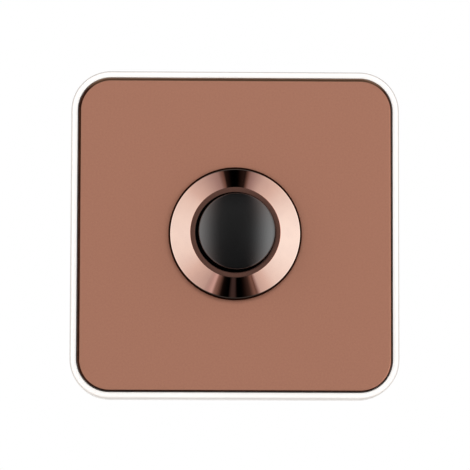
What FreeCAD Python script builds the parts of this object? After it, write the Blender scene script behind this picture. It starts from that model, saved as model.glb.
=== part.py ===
import FreeCAD, Part
import math
import os
from FreeCAD import Vector

# Doorbell push on an 86 mm square plate, in millimetres.
# The origin lies in the wall plane, on the button's axis. X runs to the right and Z up.
# Y runs into the wall, so what stands in front of the wall has a negative Y.

# White surround
fixing_spacing = 60.3
fixing_margin = 12.85
surround_corner = 10.4
rim_wall = 1.7
rim_round = 1.0
floor_thickness = 2.0
floor_rib_height = 1.3
floor_rib_width = 1.2
floor_rib_offset = 12.0
gasket_thickness = 1.0
gasket_inset = 0.8
gasket_width = 5.0

# Front plate and its liner
plate_gap = 0.15
plate_sheet = 1.2
plate_proud = 1.0
plate_flange = 5.0
plate_edge_round = 0.8
liner_gap = 0.1
liner_face = 1.5
liner_wall = 1.5
liner_rib_width = 1.2
liner_rib_height = 1.3
hook_inset_x = 14.35
hook_inset_z = 5.35
hook_width = 6.0
hook_arm = 1.4
hook_barb = 1.0
hook_tail = 1.6
hook_gap = 0.3

# Bezel, its seal and its nut
bezel_overhang = 4.1
bezel_lip = 0.55
bezel_rise = 5.1
cone_inset = 0.45
land_width = 1.22
land_height = 2.0
barrel_wall = 1.4
barrel_gap = 0.15
seal_thickness = 0.4
seal_inset = 0.2
thread_gap = 0.05
nut_width = 3.6
nut_thickness = 2.0
nut_gap = 0.3
nut_end = 0.2
spanner_slot_width = 3.0
spanner_slot_depth = 1.5
spanner_slots = 4

# Push cap
cap_play = 0.48
cap_right = 0.33
cap_up = 0.19
cap_reveal = 2.8
cap_dome = 2.2
cap_edge_round = 0.8
cap_wall = 1.65
cap_crown = 1.7
cap_lip_reach = 1.45
cap_lip_gap = 0.5
cap_lip_thickness = 1.2
cap_boss_radius = 3.0
cap_boss_height = 1.6

# Plunger
button_travel = 2.0
head_margin = 2.0
head_gap = 0.6
head_thickness = 1.2
spigot_gap = 0.25
spigot_height = 1.0
stem_radius = 3.0
stem_fit = 0.06
collar_width = 10.0
collar_height = 7.0
collar_thickness = 1.5
collar_gap = 0.2
square_stem = 3.4
tail_length = 2.4
clip_groove = 1.2
clip_thickness = 0.6
clip_radius = 3.4
clip_mouth = 2.0
clip_gap = 0.04

# Springs
return_spring_gap = 0.75
return_spring_wire = 0.45
return_spring_turns = 7
contact_spring_offset = 1.25
contact_spring_wire = 0.25
contact_spring_turns = 4
contact_spring_length = 3.5
spring_seat_depth = 0.5
spring_seat_gap = 0.4
spring_end_gap = 0.02
wire_sides = 6
bends_per_turn = 10

# Contacts
bridge_overhang = 2.5
bridge_width = 5.0
bridge_sheet = 0.8
bridge_gap = 0.1
contact_radius = 1.6
contact_height = 0.6
contact_spread = 8.5
closed_gap = 0.05
strip_sheet = 0.8
strip_overlap = 2.5
strip_gap = 0.4
strip_half_height = 2.6
strip_tail_width = 5.0

# Terminals
terminal_offset = 1.5
terminal_width = 7.8
terminal_height = 7.4
wire_bore_radius = 1.7
wire_bore_depth = 3.6
terminal_screw_radius = 1.45
terminal_screw_fit = 0.05
terminal_screw_open = 1.2
terminal_screw_tip = 0.4
terminal_head_radius = 2.9
terminal_head_height = 1.8

# Switch housing and cover
module_corner = 3.0
module_wall = 1.8
module_gap = 0.4
flange_reach = 5.0
flange_corner = 3.0
flange_thickness = 1.5
guide_wall = 1.6
guide_reach = 4.5
guide_depth = 3.0
lug_width = 8.0
lug_reach = 1.2
lug_length = 3.0
turn_rib_length = 8.0
turn_rib_width = 1.5
bay_wall = 1.8
bay_side_wall = 2.4
bay_end = 0.9
bay_floor = 0.6
bay_gap = 0.2
contact_ledge_width = 2.7
contact_ledge_height = 8.0
cover_reach = 1.35
cover_thickness = 1.5
cover_gap = 0.3
cover_rib_width = 2.0

# Screws
fixing_radius = 1.75
fixing_neck_radius = 1.5
fixing_neck_end = -0.2
fixing_length = 25.0
fixing_head_radius = 3.4
fixing_head_height = 2.2
fixing_hole_radius = 2.0
fixing_slot_run = 3.0
small_screw_radius = 1.2
small_screw_hole = 1.4
small_screw_pilot = 1.25
small_head_radius = 2.2
small_head_height = 1.4
small_screw_boss = 3.0
cover_screw_inset = 3.2
tongue_screw_inset = 4.0
cover_screw_length = 6.5
slot_width_share = 0.3
slot_depth_share = 0.45

# Depths worked out from the wall towards the visitor
frame_back = -gasket_thickness
floor_front = frame_back - floor_thickness
flange_front = floor_front - flange_thickness
nut_back = flange_front - nut_gap
liner_back = nut_back - nut_thickness
liner_front = liner_back - liner_face
plate_front = liner_front - plate_sheet
rim_front = plate_front + plate_proud
bezel_back = plate_front - seal_thickness
land_front = plate_front - bezel_rise
shoulder = land_front + land_height
barrel_back = nut_back - nut_end
cap_limb = land_front - cap_reveal
cap_apex = cap_limb - cap_dome

# Depths worked out through the switch, with the button at rest
crown_inside = cap_apex + cap_crown
head_front = crown_inside + cap_boss_height
head_back = head_front + head_thickness
chamber_front = flange_front + module_wall
guide_front = flange_front - guide_reach
collar_front = chamber_front + guide_depth
collar_back = collar_front + collar_thickness
bridge_front = collar_back + contact_spring_length
bridge_back = bridge_front + bridge_sheet
tip_front = bridge_back + contact_height + button_travel + closed_gap
strip_front = tip_front + contact_height
strip_back = strip_front + strip_sheet
cover_front = strip_back + cover_reach
cover_back = cover_front + cover_thickness
spring_seat = flange_front + spring_seat_depth

# Radii about the button's axis, worked out from the stem outwards
tail_radius = square_stem / 2
contact_spring_radius = square_stem / 2 + contact_spring_offset
guide_radius = stem_radius + guide_wall
return_spring_radius = guide_radius + return_spring_gap + return_spring_wire
spigot_radius = return_spring_radius - return_spring_wire - spigot_gap
head_radius = return_spring_radius + head_margin
cap_hollow_radius = head_radius + head_gap
cap_radius = cap_hollow_radius + cap_wall
cap_lip_radius = cap_radius + cap_lip_reach
bore_radius = cap_radius + cap_play
land_radius = bore_radius + land_width
counterbore_radius = cap_lip_radius + cap_lip_gap
barrel_radius = counterbore_radius + barrel_wall
nut_radius = barrel_radius + nut_width
bezel_radius = barrel_radius + bezel_overhang

# Sizes across the plate, worked out from the wall box's screws
surround_side = fixing_spacing + 2 * fixing_margin
tray_side = surround_side - 2 * rim_wall
tray_corner = surround_corner - rim_wall
plate_side = tray_side - 2 * plate_gap
plate_corner = tray_corner - plate_gap
pan_side = plate_side - 2 * plate_sheet
pan_corner = plate_corner - plate_sheet
liner_side = pan_side - 2 * liner_gap
liner_corner = pan_corner - liner_gap
liner_inner_side = liner_side - 2 * liner_wall

# Sizes across the switch, worked out from the contacts
terminal_spread = contact_spread + terminal_offset
bay_half = terminal_width / 2 + bay_gap
module_half = terminal_spread + bay_half + bay_side_wall
module_side = 2 * module_half
flange_side = module_side + 2 * flange_reach
chamber_half = module_half - module_wall
terminal_centre = terminal_height / 2 + bay_end - module_half
bay_top = terminal_centre + terminal_height / 2 + bay_gap
chamber_bottom = bay_top + bay_wall
strip_inner = contact_spread - strip_overlap
strip_outer = chamber_half - strip_gap
contact_ledge_inner = chamber_half - contact_ledge_width
cover_screw_top = chamber_half - cover_screw_inset
cover_screw_bottom = tongue_screw_inset - module_half
wire_bore_y = bay_floor + wire_bore_depth
INTO_WALL = Vector(0, 1, 0)


def outline(width, height, corner, y=0.0, x=0.0, z=0.0):
    """Face in the plane y: a rectangle with round corners about (x, z)."""
    a = width / 2 - corner
    b = height / 2 - corner
    corners = [(a, b, 0), (-a, b, 90), (-a, -b, 180), (a, -b, 270)]
    arcs = []
    for cx, cz, start in corners:
        points = []
        for angle in (start, start + 45, start + 90):
            turn = math.radians(angle)
            across = x + cx + corner * math.cos(turn)
            up = z + cz + corner * math.sin(turn)
            points.append(Vector(across, y, up))
        arcs.append(points)
    edges = []
    for i, points in enumerate(arcs):
        edges.append(Part.Arc(*points).toShape())
        following = arcs[(i + 1) % 4][0]
        if points[2].distanceToPoint(following) > 0.001:
            edges.append(Part.makeLine(points[2], following))
    return Part.Face(Part.Wire(edges))


def slab(width, height, corner, front, back, x=0.0, z=0.0):
    """Block with round corners between two depths."""
    return outline(width, height, corner, front, x, z).extrude(INTO_WALL * (back - front))


def block(left, right, bottom, top, front, back):
    """Plain block between six planes."""
    size = (right - left, back - front, top - bottom)
    return Part.makeBox(*size, Vector(left, front, bottom))


def rod(radius, front, back, x=0.0, z=0.0):
    """Cylinder along the depth."""
    return Part.makeCylinder(radius, back - front, Vector(x, front, z), INTO_WALL)


def turned(points):
    """Solid turned about the button's axis from (radius, depth) points."""
    corners = [Vector(r, y, 0) for r, y in points]
    face = Part.Face(Part.makePolygon(corners + corners[:1]))
    return face.revolve(Vector(), INTO_WALL, 360)


def edges_at(shape, depth):
    """Edges that lie flat in one depth plane."""
    found = []
    for edge in shape.Edges:
        box = edge.BoundBox
        if abs(box.YMin - depth) < 0.001 and abs(box.YMax - depth) < 0.001:
            found.append(edge)
    return found


def around(shape, count):
    """Copies of a shape turned evenly about the button's axis."""
    copies = []
    for i in range(count):
        copy = shape.copy()
        copy.rotate(Vector(), INTO_WALL, i * 360 / count)
        copies.append(copy)
    return copies


def mirrored(shape):
    """The same piece on the other side of the button's axis."""
    return shape.mirror(Vector(), Vector(1, 0, 0))


def coil(radius, wire, turns, front, back):
    """Compression spring between two seats: a wire swept along a helix of short runs."""
    start = front + wire + spring_end_gap
    rise = back - wire - spring_end_gap - start
    bends = turns * bends_per_turn
    path = []
    for i in range(bends + 1):
        turn = 2 * math.pi * i / bends_per_turn
        path.append(Vector(radius * math.cos(turn), start + rise * i / bends, radius * math.sin(turn)))
    along = (path[1] - path[0]).normalize()
    across = along.cross(INTO_WALL).normalize()
    over = along.cross(across)
    ring = []
    for i in range(wire_sides):
        turn = 2 * math.pi * (i + 0.5) / wire_sides
        ring.append(path[0] + across * wire * math.cos(turn) + over * wire * math.sin(turn))
    section = Part.makePolygon(ring + ring[:1])
    return Part.makePolygon(path).makePipeShell([section], True, True, 1)


def screw(head_radius, head_height, shank_radius, length, seat, x, z, facing=1):
    """Slotted pan-head screw whose head seats in the plane y = seat and points away from it."""
    head = rod(head_radius, -head_height, 0)
    wide = head_radius * slot_width_share
    deep = head_height * slot_depth_share
    slot = block(-head_radius, head_radius, -wide / 2, wide / 2, -head_height, -head_height + deep)
    body = head.cut(slot).fuse(rod(shank_radius, 0, length)).removeSplitter()
    if facing < 0:
        body.rotate(Vector(), Vector(0, 0, 1), 180)
    body.translate(Vector(x, seat, z))
    return body


def hook_places():
    """Centres of the four snap hooks, with the side that each barb points to."""
    half_x = liner_inner_side / 2 - hook_inset_x
    half_z = liner_inner_side / 2 - hook_inset_z
    return [(sx * half_x, sz * half_z, sz) for sx in (-1, 1) for sz in (-1, 1)]


def make_gasket():
    side = surround_side - 2 * gasket_inset
    corner = surround_corner - gasket_inset
    inner = side - 2 * gasket_width
    opening = slab(inner, inner, corner - gasket_width, frame_back, 0)
    return slab(side, side, corner, frame_back, 0).cut(opening)


def make_floor_ribs():
    """Ribs between the rim wall and the switch, two to each side of the tray."""
    start = flange_side / 2 + module_gap
    end = liner_inner_side / 2 - module_gap
    half = floor_rib_width / 2
    ribs = []
    for offset in (-floor_rib_offset, floor_rib_offset):
        top = floor_front - floor_rib_height
        rib = block(start, end, offset - half, offset + half, top, floor_front)
        ribs += around(rib, 4)
    return ribs


def make_surround():
    side, corner = surround_side, surround_corner
    body = slab(side, side, corner, rim_front, frame_back)
    body = body.makeFillet(rim_round, edges_at(body, rim_front))
    body = body.cut(slab(tray_side, tray_side, tray_corner, rim_front, floor_front))
    body = body.fuse(make_floor_ribs())
    opening = module_side + 2 * module_gap
    cuts = [slab(opening, opening, module_corner + module_gap, floor_front, frame_back)]
    half = fixing_spacing / 2
    cuts.append(rod(fixing_hole_radius, floor_front, frame_back, -half))
    wide = 2 * fixing_hole_radius
    slot = slab(wide + fixing_slot_run, wide, fixing_hole_radius * 0.999, floor_front, frame_back, half)
    cuts.append(slot)
    for x, z, side_up in hook_places():
        near = z - side_up * (hook_arm / 2 + hook_gap)
        far = z + side_up * (hook_arm / 2 + hook_barb + hook_gap)
        low, high = sorted((near, far))
        wide = hook_width / 2 + hook_gap
        cuts.append(block(x - wide, x + wide, low, high, floor_front, frame_back))
    return body.cut(cuts)


def make_front_plate():
    """Pressed pan: a flat face with a rolled edge and a return flange."""
    back = plate_front + plate_flange
    pan = slab(plate_side, plate_side, plate_corner, plate_front, back)
    pan = pan.makeFillet(plate_edge_round, edges_at(pan, plate_front))
    inside = slab(pan_side, pan_side, pan_corner, liner_front, back)
    hole = rod(barrel_radius + barrel_gap, plate_front, liner_front)
    return pan.cut([inside, hole])


def make_hook(x, z, side_up):
    """Snap arm with a ramped barb that catches behind the surround's floor."""
    inner = z - side_up * hook_arm / 2
    outer = z + side_up * hook_arm / 2
    catch = frame_back + closed_gap
    tip = frame_back + hook_tail
    left = x - hook_width / 2
    profile = [(inner, liner_back), (outer, liner_back), (outer, catch)]
    profile += [(outer + side_up * hook_barb, catch), (outer, tip), (inner, tip)]
    points = [Vector(left, y, up) for up, y in profile]
    return Part.Face(Part.makePolygon(points + points[:1])).extrude(Vector(hook_width, 0, 0))


def make_liner():
    body = slab(liner_side, liner_side, liner_corner, liner_front, floor_front)
    inner = liner_inner_side
    body = body.cut(slab(inner, inner, liner_corner - liner_wall, liner_back, floor_front))
    body = body.cut(rod(barrel_radius + barrel_gap, liner_front, liner_back))
    start = nut_radius + module_gap
    rib = block(start, inner / 2, -liner_rib_width / 2, liner_rib_width / 2,
                liner_back, liner_back + liner_rib_height)
    hooks = [make_hook(*place) for place in hook_places()]
    return body.fuse(around(rib, 4) + hooks)


def make_bezel():
    """Turned ring: lip, cone, narrow land, bore, counterbore and threaded barrel."""
    lip_front = bezel_back - bezel_lip
    return turned([
        (bore_radius, land_front),
        (land_radius, land_front),
        (bezel_radius - cone_inset, lip_front),
        (bezel_radius, lip_front + cone_inset),
        (bezel_radius, bezel_back),
        (barrel_radius, bezel_back),
        (barrel_radius, barrel_back),
        (counterbore_radius, barrel_back),
        (counterbore_radius, shoulder),
        (bore_radius, shoulder),
    ])


def make_seal():
    inner = rod(barrel_radius + barrel_gap, bezel_back, plate_front)
    return rod(bezel_radius - seal_inset, bezel_back, plate_front).cut(inner)


def make_nut():
    nut = rod(nut_radius, liner_back, nut_back)
    cuts = [rod(barrel_radius + thread_gap, liner_back, nut_back)]
    half = spanner_slot_width / 2
    slot = block(nut_radius - spanner_slot_depth, nut_radius + 1, -half, half, liner_back, nut_back)
    return nut.cut(cuts + around(slot, spanner_slots))


def dome(radius, apex, rise, back):
    """Solid of revolution under a shallow dome of a given rise."""
    swell = (radius * radius + rise * rise) / (2 * rise)
    half_angle = math.asin(radius / swell) / 2
    middle = Vector(swell * math.sin(half_angle), apex + swell * (1 - math.cos(half_angle)), 0)
    top = Vector(0, apex, 0)
    rim = Vector(radius, apex + rise, 0)
    curve = Part.Arc(top, middle, rim).toShape()
    side = Part.makeLine(rim, Vector(radius, back, 0))
    base = Part.makeLine(Vector(radius, back, 0), Vector(0, back, 0))
    axis = Part.makeLine(Vector(0, back, 0), top)
    return Part.Face(Part.Wire([curve, side, base, axis])).revolve(Vector(), INTO_WALL, 360)


def make_cap():
    """Hollow domed cap with a lip that the bezel's shoulder retains."""
    skirt_back = shoulder + cap_lip_thickness
    cap = dome(cap_radius, cap_apex, cap_dome, skirt_back)
    cap = cap.makeFillet(cap_edge_round, edges_at(cap, cap_limb))
    lip = rod(cap_lip_radius, shoulder, skirt_back)
    lip = lip.makeChamfer(cap_lip_thickness / 3, edges_at(lip, skirt_back))
    inner_rise = cap_dome * (cap_hollow_radius / cap_radius) ** 2
    hollow = dome(cap_hollow_radius, crown_inside, inner_rise, skirt_back)
    boss = rod(cap_boss_radius, crown_inside - cap_crown / 2, head_front)
    cap = cap.fuse(lip).cut(hollow).fuse(boss).removeSplitter()
    cap.translate(Vector(cap_right, 0, cap_up))
    return cap


def make_plunger():
    """Head and spigot for the cap and spring, guided stem, collar, square stem and grooved tail."""
    tail_back = bridge_back + tail_length
    head = rod(head_radius, head_front, head_back)
    parts = [rod(spigot_radius, head_back, head_back + spigot_height)]
    parts.append(rod(stem_radius, head_back, collar_front))
    wide, high = collar_width / 2, collar_height / 2
    parts.append(block(-wide, wide, -high, high, collar_front, collar_back))
    half = square_stem / 2
    parts.append(block(-half, half, -half, half, collar_back, bridge_back))
    parts.append(rod(tail_radius, bridge_back, tail_back))
    body = head.fuse(parts)
    groove = rod(tail_radius, bridge_back, bridge_back + clip_thickness)
    groove = groove.cut(rod(clip_groove, bridge_back, bridge_back + clip_thickness))
    return body.cut(groove).removeSplitter()


def make_clip():
    """Open ring in the stem's groove, with its mouth to the right."""
    back = bridge_back + clip_thickness
    ring = rod(clip_radius, bridge_back, back).cut(rod(clip_groove + clip_gap, bridge_back, back))
    half = clip_mouth / 2
    return ring.cut(block(0, clip_radius, -half, half, bridge_back, back))


def contact_buttons(front, back):
    """Silver contact buttons brazed to the left and right ends of a strip."""
    return [rod(contact_radius, front, back, x) for x in (-contact_spread, contact_spread)]


def make_bridge():
    long, wide = contact_spread + bridge_overhang, bridge_width / 2
    strip = block(-long, long, -wide, wide, bridge_front, bridge_back)
    half = square_stem / 2 + bridge_gap
    return strip.cut(block(-half, half, -half, half, bridge_front, bridge_back))


def make_fixed_contact():
    """Right-hand strip: a pad under the contact tip and a tail down to the terminal."""
    high = strip_half_height
    pad = block(strip_inner, strip_outer, -high, high, strip_front, strip_back)
    bottom = terminal_centre - terminal_height / 2
    half = strip_tail_width / 2
    left, right = terminal_spread - half, terminal_spread + half
    tail = block(left, right, bottom, 0, strip_front, strip_back)
    radius = terminal_screw_radius + bay_gap
    hole = rod(radius, strip_front, strip_back, terminal_spread, terminal_centre)
    return pad.fuse(tail).cut(hole).removeSplitter()


def make_terminal():
    """Right-hand brass block with a wire bore from below and a screw thread from behind."""
    wide, high = terminal_width / 2, terminal_height / 2
    left, right = terminal_spread - wide, terminal_spread + wide
    low, top = terminal_centre - high, terminal_centre + high
    body = block(left, right, low, top, bay_floor, strip_front)
    start = Vector(terminal_spread, wire_bore_y, low)
    bore = Part.makeCylinder(wire_bore_radius, terminal_height, start, Vector(0, 0, 1))
    thread = terminal_screw_radius + terminal_screw_fit
    hole = rod(thread, wire_bore_y, strip_front, terminal_spread, terminal_centre)
    return body.cut([bore, hole])


def make_terminal_screws():
    """Clamp screws, backed out so that the wire bores are free."""
    seat = strip_back + terminal_screw_open
    tip = wire_bore_y + wire_bore_radius + terminal_screw_tip
    size = (terminal_head_radius, terminal_head_height, terminal_screw_radius, seat - tip)
    return [screw(*size, seat, x, terminal_centre, -1) for x in (-terminal_spread, terminal_spread)]


def make_lug():
    """Ramped lug on the right side of the switch that snaps behind the surround's floor."""
    catch = frame_back + closed_gap
    profile = [(module_half, catch), (module_half + lug_reach, catch), (module_half, catch + lug_length)]
    points = [Vector(x, y, -lug_width / 2) for x, y in profile]
    return Part.Face(Part.makePolygon(points + points[:1])).extrude(Vector(0, 0, lug_width))


def make_chamber():
    """The hollow of the switch, with its boss, contact ledges and slots for the contact tails."""
    half = chamber_half
    hollow = block(-half, half, chamber_bottom, half, chamber_front, cover_front)
    ledge_half = contact_ledge_height / 2
    ledge = block(contact_ledge_inner, half, -ledge_half, ledge_half, chamber_front, strip_front)
    inside = [rod(guide_radius, chamber_front, collar_front)]
    inside += [ledge, mirrored(ledge)]
    boss_top = block(-small_screw_boss, small_screw_boss, cover_screw_top, half, chamber_front, cover_front)
    inside += [boss_top, rod(small_screw_boss, chamber_front, cover_front, 0, cover_screw_top)]
    near = collar_height / 2 + collar_gap
    rib_back = collar_back + button_travel + bay_gap
    rib_half = turn_rib_length / 2
    rib = block(-rib_half, rib_half, near, near + turn_rib_width, chamber_front, rib_back)
    inside += [rib, rib.mirror(Vector(), Vector(0, 0, 1))]
    return hollow.cut(inside)


def make_housing():
    """Moulded switch body: flange, snap lugs, guide tube, chamber, and two bays open below."""
    body = slab(flange_side, flange_side, flange_corner, flange_front, floor_front)
    box = slab(module_side, module_side, module_corner, flange_front, cover_front)
    tube = rod(guide_radius, guide_front, flange_front)
    lug = make_lug()
    body = body.fuse([box, tube, lug, mirrored(lug)])
    bay = block(terminal_spread - bay_half, terminal_spread + bay_half, -module_half, bay_top,
                bay_floor, cover_front)
    tail_half = strip_tail_width / 2 + bay_gap
    notch = block(terminal_spread - tail_half, terminal_spread + tail_half, bay_top, chamber_bottom,
                  strip_front - closed_gap, cover_front)
    cuts = [make_chamber(), bay, mirrored(bay), notch, mirrored(notch)]
    cuts.append(rod(stem_radius + stem_fit, guide_front, collar_front))
    seat = rod(return_spring_radius + return_spring_wire + spring_seat_gap, flange_front, spring_seat)
    cuts.append(seat.cut(rod(guide_radius, flange_front, spring_seat)))
    for z in (cover_screw_top, cover_screw_bottom):
        start = cover_front - cover_screw_length
        cuts.append(rod(small_screw_pilot, start, cover_front, 0, z))
    return body.cut(cuts)


def make_cover():
    """Rear cover with a tongue between the terminal bays and two ribs that hold the contacts."""
    top = module_half
    bottom = bay_top
    high = top - bottom
    middle = (top + bottom) / 2
    plate = slab(module_side, high, module_corner, cover_front, cover_back, 0, middle)
    square = block(-module_half, module_half, bottom, bottom + module_corner, cover_front, cover_back)
    tongue_half = terminal_spread - bay_half - cover_gap
    tongue = block(-tongue_half, tongue_half, -module_half, bottom, cover_front, cover_back)
    ledge_half = contact_ledge_height / 2 - cover_gap
    rib_outer = strip_outer - cover_gap
    rib = block(rib_outer - cover_rib_width, rib_outer, -ledge_half, ledge_half, strip_back, cover_front)
    cover = plate.fuse([square, tongue, rib, mirrored(rib)]).removeSplitter()
    holes = []
    for z in (cover_screw_top, cover_screw_bottom):
        holes.append(rod(small_screw_hole, cover_front, cover_back, 0, z))
    return cover.cut(holes)


def make_cover_screws():
    size = (small_head_radius, small_head_height, small_screw_radius, cover_screw_length)
    return [screw(*size, cover_back, 0, z, -1) for z in (cover_screw_top, cover_screw_bottom)]


def make_fixing_screws():
    """Wall-box screws. The neck under each head is thinner than the threaded length."""
    neck = fixing_neck_end - floor_front
    places = (-fixing_spacing / 2, fixing_spacing / 2)
    screws = []
    for x in places:
        size = (fixing_head_radius, fixing_head_height, fixing_neck_radius, neck + 1)
        head = screw(*size, floor_front, x, 0)
        thread = rod(fixing_radius, fixing_neck_end, floor_front + fixing_length, x)
        screws.append(head.fuse(thread).removeSplitter())
    return screws


def contact_spring():
    return coil(contact_spring_radius, contact_spring_wire, contact_spring_turns, collar_back, bridge_front)


def return_spring():
    return coil(return_spring_radius, return_spring_wire, return_spring_turns, head_back, spring_seat)


def make_parts():
    """Every piece by its node name."""
    contact = make_fixed_contact()
    terminal = make_terminal()
    return {
        "surround_frame": make_surround(),
        "backing_gasket": make_gasket(),
        "front_plate": make_front_plate(),
        "plate_liner": make_liner(),
        "bezel_ring": make_bezel(),
        "bezel_seal": make_seal(),
        "bezel_nut": make_nut(),
        "push_cap": make_cap(),
        "plunger": make_plunger(),
        "plunger_clip": make_clip(),
        "return_spring": return_spring(),
        "contact_spring": contact_spring(),
        "contact_bridge": make_bridge(),
        "moving_contacts": Part.makeCompound(contact_buttons(bridge_back, bridge_back + contact_height)),
        "fixed_contact_right": contact,
        "fixed_contact_left": mirrored(contact),
        "fixed_contact_tips": Part.makeCompound(contact_buttons(tip_front, strip_front)),
        "terminal_clamp_right": terminal,
        "terminal_clamp_left": mirrored(terminal),
        "terminal_screws": Part.makeCompound(make_terminal_screws()),
        "switch_housing": make_housing(),
        "housing_cover": make_cover(),
        "cover_screws": Part.makeCompound(make_cover_screws()),
        "fixing_screws": Part.makeCompound(make_fixing_screws()),
    }


os.makedirs("parts", exist_ok=True)
for name, shape in make_parts().items():
    shape.exportStep("parts/" + name + ".step")
    print(name, len(shape.Solids), shape.isValid(), round(shape.Volume, 2))
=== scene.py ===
import math

import bmesh
import bpy
from mathutils import Matrix, Vector


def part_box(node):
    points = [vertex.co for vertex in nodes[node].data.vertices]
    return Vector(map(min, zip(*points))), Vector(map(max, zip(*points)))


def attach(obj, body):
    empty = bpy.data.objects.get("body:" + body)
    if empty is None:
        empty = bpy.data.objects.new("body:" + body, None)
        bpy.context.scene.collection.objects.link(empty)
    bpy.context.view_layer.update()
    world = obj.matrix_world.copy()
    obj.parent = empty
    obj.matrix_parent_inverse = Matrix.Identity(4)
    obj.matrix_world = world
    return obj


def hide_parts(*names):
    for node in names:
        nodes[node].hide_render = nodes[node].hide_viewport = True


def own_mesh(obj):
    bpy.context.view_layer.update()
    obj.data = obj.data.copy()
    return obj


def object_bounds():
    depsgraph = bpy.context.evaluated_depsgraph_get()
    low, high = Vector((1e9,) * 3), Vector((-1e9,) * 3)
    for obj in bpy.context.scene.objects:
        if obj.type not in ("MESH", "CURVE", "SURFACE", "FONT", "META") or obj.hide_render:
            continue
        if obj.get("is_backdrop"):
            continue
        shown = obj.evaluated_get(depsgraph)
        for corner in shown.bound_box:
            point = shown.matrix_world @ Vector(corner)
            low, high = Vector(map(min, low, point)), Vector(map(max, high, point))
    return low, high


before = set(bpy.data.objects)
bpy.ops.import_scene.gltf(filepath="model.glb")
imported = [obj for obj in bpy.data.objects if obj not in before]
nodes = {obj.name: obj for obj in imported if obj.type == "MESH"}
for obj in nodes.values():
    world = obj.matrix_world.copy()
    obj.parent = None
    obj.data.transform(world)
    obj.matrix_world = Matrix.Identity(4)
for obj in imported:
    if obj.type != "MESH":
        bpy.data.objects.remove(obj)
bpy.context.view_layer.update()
scene = bpy.context.scene


# Backing gasket
# A soft ring of black closed-cell foam between the surround and the wall, die-cut from sheet and
# stuck to the surround's back. It takes up the unevenness of the wall and keeps the damp out.
def linear(hex_code):
    """A screen colour such as #a7755e as the linear light that the shaders take."""
    levels = [int(hex_code[i:i + 2], 16) / 255 for i in (1, 3, 5)]
    light = [v / 12.92 if v <= 0.04045 else ((v + 0.055) / 1.055) ** 2.4 for v in levels]
    return (*light, 1.0)


def spaced(millimetres):
    """Scale of a pattern whose features lie this far apart."""
    return 1000 / millimetres


def add(tree, kind, settings, links=None):
    """Adds a node, with settings for its properties or sockets and links from other outputs.

    A number as a key is a socket's place: on Mix, 6 and 7 are the two colours. The setting called
    stops holds a ramp's positions, each with a hex colour or a plain level.
    """
    made = tree.nodes.new("ShaderNode" + kind)
    for key, value in settings.items():
        if key == "stops":
            elements = made.color_ramp.elements
            while len(elements) < len(value):
                elements.new(0.5)
            for element, (position, colour) in zip(elements, value):
                element.position = position
                element.color = linear(colour) if isinstance(colour, str) else (colour, colour, colour, 1)
        elif isinstance(key, int) or key in made.inputs:
            made.inputs[key].default_value = value
        else:
            setattr(made, key, value)
    for key, source in (links or {}).items():
        tree.links.new(source, made.inputs[key])
    return made


def start_material(name, sockets):
    """A material with constant sockets set, its tree, its shader and its object coordinates."""
    material = bpy.data.materials.new(name)
    material.use_nodes = True
    tree = material.node_tree
    shader = tree.nodes["Principled BSDF"]
    for key, value in sockets.items():
        shader.inputs[key].default_value = value
    place = add(tree, "TexCoord", {}).outputs["Object"]
    return material, tree, shader, place


def dress(piece, *materials):
    """Gives a piece its materials in place of any that it has."""
    piece.data.materials.clear()
    for material in materials:
        piece.data.materials.append(material)


# Closed-cell EVA foam: dull and dark, with the open cells of the cut edge as fine pits.
gasket_foam, tree, shader, place = start_material(
    "closed_cell_foam", {"Roughness": 0.9, "Specular IOR Level": 0.25})
cells = add(tree, "TexVoronoi", {"Scale": spaced(0.45)}, {"Vector": place})
tone = add(tree, "ValToRGB", {"stops": [(0.0, "#17181a"), (1.0, "#2e3032")]},
           {"Fac": cells.outputs["Distance"]})
pits = add(tree, "Bump", {"Strength": 0.6, "Distance": 0.00008}, {"Height": cells.outputs["Distance"]})
tree.links.new(tone.outputs["Color"], shader.inputs["Base Color"])
tree.links.new(pits.outputs["Normal"], shader.inputs["Normal"])
dress(nodes["backing_gasket"], gasket_foam)


# White surround
# A shallow square tray moulded in white polycarbonate. Its narrow rim stands round the metal
# plate, and its floor carries the switch and takes the two screws into the wall box.
white_polycarbonate, tree, shader, place = start_material(
    "white_moulded_polycarbonate", {"Specular IOR Level": 0.3, "IOR": 1.58})
# Spark-eroded mould texture: a fine even grain that keeps the white from looking like enamel.
grain = add(tree, "TexNoise", {"Scale": spaced(0.35), "Detail": 3.0, "Roughness": 0.6}, {"Vector": place})
cloud = add(tree, "TexNoise", {"Scale": spaced(25), "Detail": 2.0}, {"Vector": place})
tone = add(tree, "ValToRGB", {"stops": [(0.35, "#f5f5f3"), (0.65, "#f9f9f7")]}, {"Fac": cloud.outputs["Fac"]})
# Painted shade: the rim's rounded outer edge, and less so its sides, is greyed as shade, darker on the upward
# side than on the downward side.
facing = add(tree, "SeparateXYZ", {}, {"Vector": add(tree, "TexCoord", {}).outputs["Normal"]})
upward = add(tree, "MapRange", {"From Min": -0.6, "From Max": 0.6}, {"Value": facing.outputs["Z"]})
painted_edge_shade = add(tree, "Mix", {"data_type": "RGBA", 6: linear("#dcdad6"), 7: linear("#b4b2af")},
            {0: upward.outputs["Result"]})
turn = add(tree, "Math", {"operation": "ABSOLUTE"}, {0: facing.outputs["Y"]}).outputs[0]
# Painted shade mask: strongest where the rounded edge turns away from the front, none on the front itself.
corner = add(tree, "ValToRGB", {"stops": [
    (0.0, 0.35), (0.1, 0.45), (0.3, 1.0), (0.6, 1.0), (0.88, 0.0), (1.0, 0.0)]}, {"Fac": turn})
shade = add(tree, "Mix", {"data_type": "RGBA"},
            {0: corner.outputs["Color"], 6: tone.outputs["Color"], 7: painted_edge_shade.outputs[2]})
gloss = add(tree, "MapRange", {"From Min": 0.3, "From Max": 0.7, "To Min": 0.34, "To Max": 0.46},
            {"Value": grain.outputs["Fac"]})
texture = add(tree, "Bump", {"Strength": 0.35, "Distance": 0.00003}, {"Height": grain.outputs["Fac"]})
tree.links.new(shade.outputs[2], shader.inputs["Base Color"])
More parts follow.
